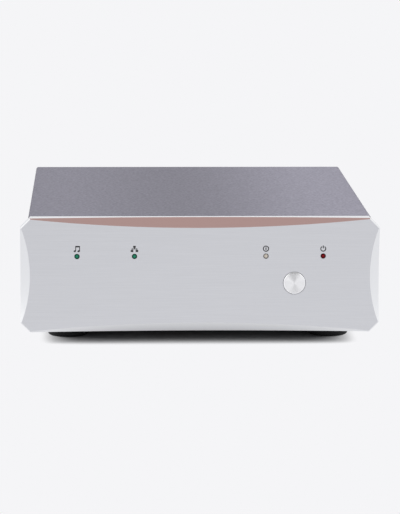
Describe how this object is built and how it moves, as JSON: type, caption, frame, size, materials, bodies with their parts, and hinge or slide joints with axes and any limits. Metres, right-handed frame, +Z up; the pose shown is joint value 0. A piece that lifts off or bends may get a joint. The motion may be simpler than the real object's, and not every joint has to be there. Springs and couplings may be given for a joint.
{
  "type": "network music streamer",
  "caption": "Half-width audio streamer with a thick arched-bevel front plate, push button, indicator lamps, folded grey case, round feet and rear sockets.",
  "frame": {"origin": "under the middle of the whole unit, on the plane that the feet stand on", "axes": "+X to the right seen from the front, +Y from the front plate to the rear sockets, +Z up"},
  "size_m": [0.22, 0.2694, 0.0784],
  "materials": {
    "anodised_aluminium": "fine brushed, clear anodised, bright bevels, rose top bevel",
    "turned_aluminium": "turned face, clear anodised",
    "black_steel": "black oxide",
    "zinc_steel": "zinc plated",
    "tinned_steel": "bright tin plate",
    "panel_aluminium": "fine sanded, clear anodised",
    "grey_coated_steel": "fine-grained grey powder coat",
    "black_aluminium": "black anodised",
    "black_zinc": "black plated die casting",
    "gold_brass": "gold plated",
    "nickel_brass": "nickel plated",
    "foot_rubber": "matt black",
    "black_plastic": "fine-grained black",
    "gloss_black_plastic": "smooth black",
    "green_plastic": "green",
    "white_insulator": "white",
    "green_lens": "tinted clear epoxy",
    "clear_lens": "clear epoxy",
    "red_lens": "tinted clear epoxy",
    "circuit_board": "green solder mask",
    "module_board": "blue solder mask",
    "fuse_glass": "clear tube",
    "capacitor_can": "dark sleeve over an aluminium can",
    "wound_core": "amber film over copper winding and steel core",
    "grey_ribbon": "grey",
    "blue_insulation": "blue",
    "red_insulation": "red",
    "earth_insulation": "green with a yellow stripe"
  },
  "bodies": {
    "case": {"front_plate": "anodised_aluminium", "plate_screws": "black_steel", "push_switch": "black_plastic", "led_music": "green_lens", "led_network": "green_lens", "led_power": "clear_lens", "led_standby": "red_lens", "front_board": "circuit_board", "chassis_tray": "zinc_steel", "rear_panel": "panel_aluminium", "panel_screws": "black_steel", "top_cover": "grey_coated_steel", "cover_screws": "black_steel", "foot_front_left": "foot_rubber", "foot_front_right": "foot_rubber", "foot_rear_left": "foot_rubber", "foot_rear_right": "foot_rubber", "foot_screws": "zinc_steel", "main_board": "circuit_board", "network_module": "module_board", "module_heatsink": "black_aluminium", "board_parts": "black_plastic", "ribbon_headers": "black_plastic", "lan_socket": "tinned_steel", "lan_insert": "black_plastic", "i2s_socket": "tinned_steel", "i2s_insert": "black_plastic", "optical_socket": "black_plastic", "coax_housing": "black_plastic", "coax_barrel": "gold_brass", "coax_core": "white_insulator", "aes_shell": "black_zinc", "aes_insert": "black_plastic", "aes_pins": "gold_brass", "mains_inlet": "black_plastic", "inlet_blades": "nickel_brass", "supply_board": "circuit_board", "reservoir_capacitors": "capacitor_can", "regulator_heatsink": "black_aluminium", "regulators": "black_plastic", "rectifier": "black_plastic", "terminal_blocks": "green_plastic", "board_posts": "nickel_brass", "board_screws": "zinc_steel", "transformer": "wound_core", "transformer_pads": "foot_rubber", "transformer_disc": "zinc_steel", "transformer_bolt": "zinc_steel", "transformer_nut": "zinc_steel", "ribbon_cable": "grey_ribbon", "mains_leads": "blue_insulation", "secondary_leads": "red_insulation", "supply_leads": "red_insulation", "earth_lead": "earth_insulation"},
    "button": {"power_button": "turned_aluminium", "switch_plunger": "black_plastic"},
    "rocker": {"power_rocker": "gloss_black_plastic"},
    "drawer": {"fuse_drawer": "black_plastic", "fuse_links": "fuse_glass"},
    "shutter": {"optical_shutter": "black_plastic"}
  },
  "joints": [
    {"name": "button_press", "type": "slide", "parent": "case", "child": "button", "axis": [0, 1, 0], "range_m": [0, 0.0015], "stiffness_N_per_m": 1200},
    {"name": "rocker_tilt", "type": "hinge", "parent": "case", "child": "rocker", "pos_m": [0.0841, 0.12275, 0.0432], "axis": [1, 0, 0], "range_deg": [0, 18]},
    {"name": "drawer_pull", "type": "slide", "parent": "case", "child": "drawer", "axis": [0, 1, 0], "range_m": [0, 0.022]},
    {"name": "shutter_swing", "type": "hinge", "parent": "case", "child": "shutter", "pos_m": [-0.0428, 0.12425, 0.0282], "axis": [-1, 0, 0], "range_deg": [0, 78], "stiffness_Nm_per_rad": 0.0004}
  ]
}
